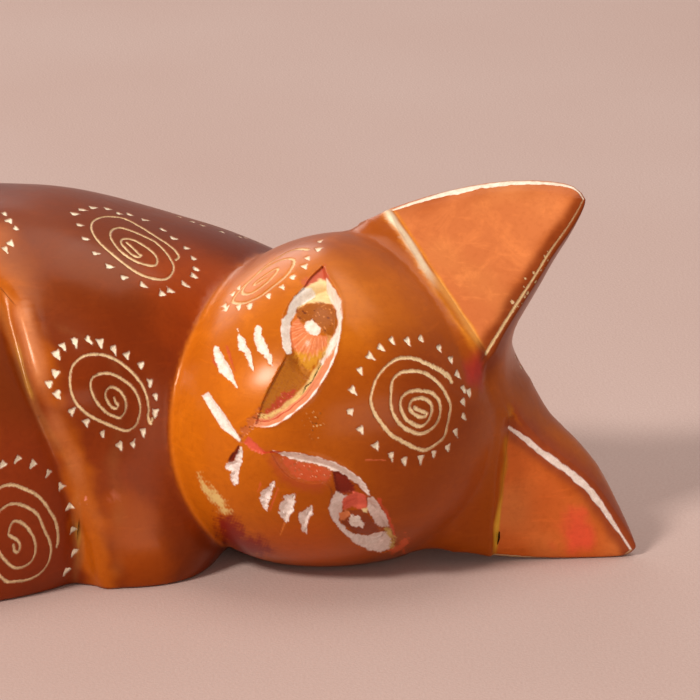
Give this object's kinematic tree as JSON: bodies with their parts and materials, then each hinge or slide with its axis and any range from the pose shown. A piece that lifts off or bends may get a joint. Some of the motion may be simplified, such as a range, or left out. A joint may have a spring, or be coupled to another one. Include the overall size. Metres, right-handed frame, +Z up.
{
  "type": "carved stone cat figurine",
  "caption": "Carved and polished soapstone cat lying on one cheek, with etched spirals, big flat-faced ears and a flat sanded base, for a shelf or desk.",
  "frame": {"origin": "on the sanded base, under the middle of the figure's box", "axes": "+X from the rump to the crown of the head, -Y to the side that the face looks to, +Z up"},
  "size_m": [0.1493, 0.0697, 0.0434],
  "materials": {
    "dyed_stone": "orange-brown dyed soapstone, waxed and polished to a gloss",
    "dyed_stone_light": "lighter orange dyed soapstone with pale scraped rims, waxed and polished"
  },
  "bodies": {
    "root": {"head": "dyed_stone", "upper_ear": "dyed_stone_light", "lower_ear": "dyed_stone_light", "chest": "dyed_stone", "foreleg": "dyed_stone", "rump": "dyed_stone", "thigh": "dyed_stone", "hind_foot": "dyed_stone", "tail": "dyed_stone"}
  },
  "joints": []
}
